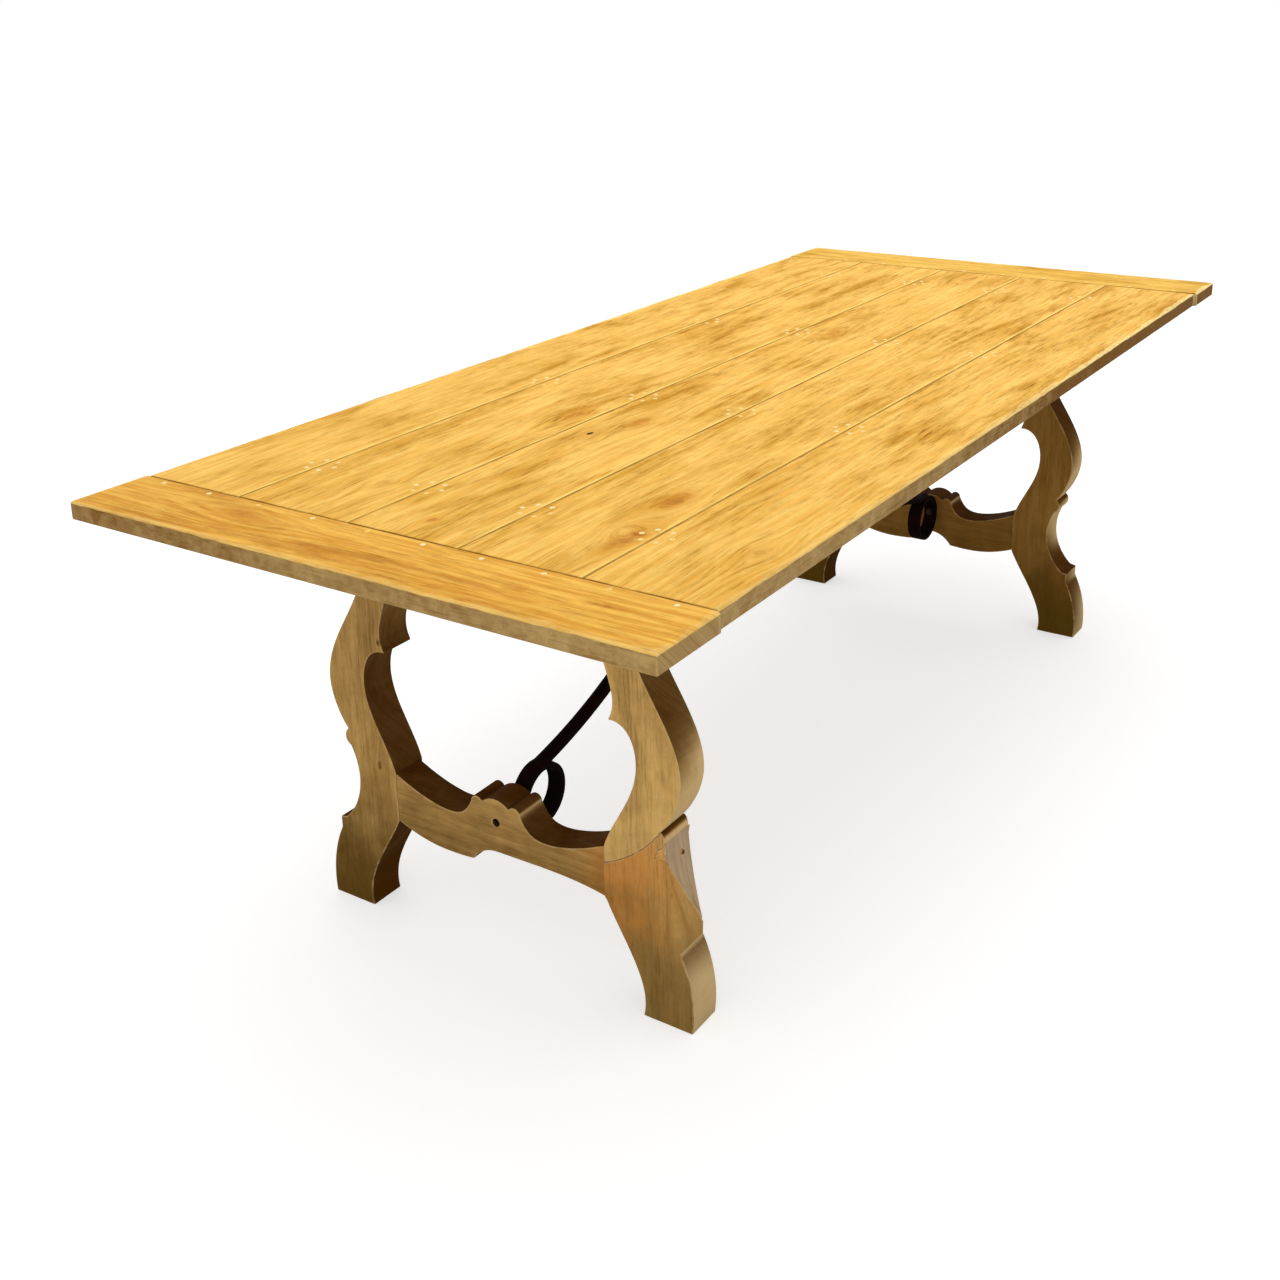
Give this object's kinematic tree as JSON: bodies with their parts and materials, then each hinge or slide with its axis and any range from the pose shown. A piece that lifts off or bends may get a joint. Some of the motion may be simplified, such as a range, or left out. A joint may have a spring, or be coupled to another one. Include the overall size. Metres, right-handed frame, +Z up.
{
  "type": "farmhouse dining table",
  "caption": "Long farmhouse dining table with a pegged plank top, breadboard ends, lyre-shaped trestles and curved iron stretchers.",
  "frame": {"origin": "floor level, below the middle of the table top", "axes": "+X along the table towards the far end in the picture, +Y across it to the left side, +Z up"},
  "size_m": [2.29, 1, 0.762],
  "materials": {
    "top_wood": "waxed golden pine, satin",
    "end_wood": "waxed golden pine, satin, a little darker",
    "peg_wood": "pale peg end grain, satin",
    "trestle_wood": "matt khaki-brown oak",
    "mended_wood": "matt warm brown oak",
    "pale_wood": "bare grey-pink wood",
    "iron": "blackened forged iron",
    "bolt_steel": "dull dark steel"
  },
  "bodies": {
    "root": {"top_board_1": "top_wood", "top_board_2": "top_wood", "top_board_3": "top_wood", "top_board_4": "top_wood", "top_board_5": "top_wood", "breadboard_near": "end_wood", "breadboard_far": "end_wood", "breadboard_pegs_near": "peg_wood", "cleat_pegs_near": "peg_wood", "batten_pegs_near": "peg_wood", "breadboard_pegs_far": "peg_wood", "cleat_pegs_far": "peg_wood", "batten_pegs_far": "peg_wood", "cleat_near": "trestle_wood", "batten_near": "trestle_wood", "cross_rail_near": "trestle_wood", "upright_near_left": "trestle_wood", "upright_near_right": "trestle_wood", "cleat_far": "trestle_wood", "batten_far": "trestle_wood", "cross_rail_far": "trestle_wood", "upright_far_left": "trestle_wood", "upright_far_right": "trestle_wood", "iron_stretcher_near": "iron", "stretcher_bolt_near": "bolt_steel", "stretcher_washer_near": "bolt_steel", "stretcher_nut_near": "bolt_steel", "iron_stretcher_far": "iron", "stretcher_bolt_far": "bolt_steel", "stretcher_washer_far": "bolt_steel", "stretcher_nut_far": "bolt_steel", "stretcher_screws": "bolt_steel", "mended_foot": "mended_wood", "mending_block": "pale_wood", "mending_nail": "bolt_steel", "mending_dowels": "peg_wood"}
  },
  "joints": []
}
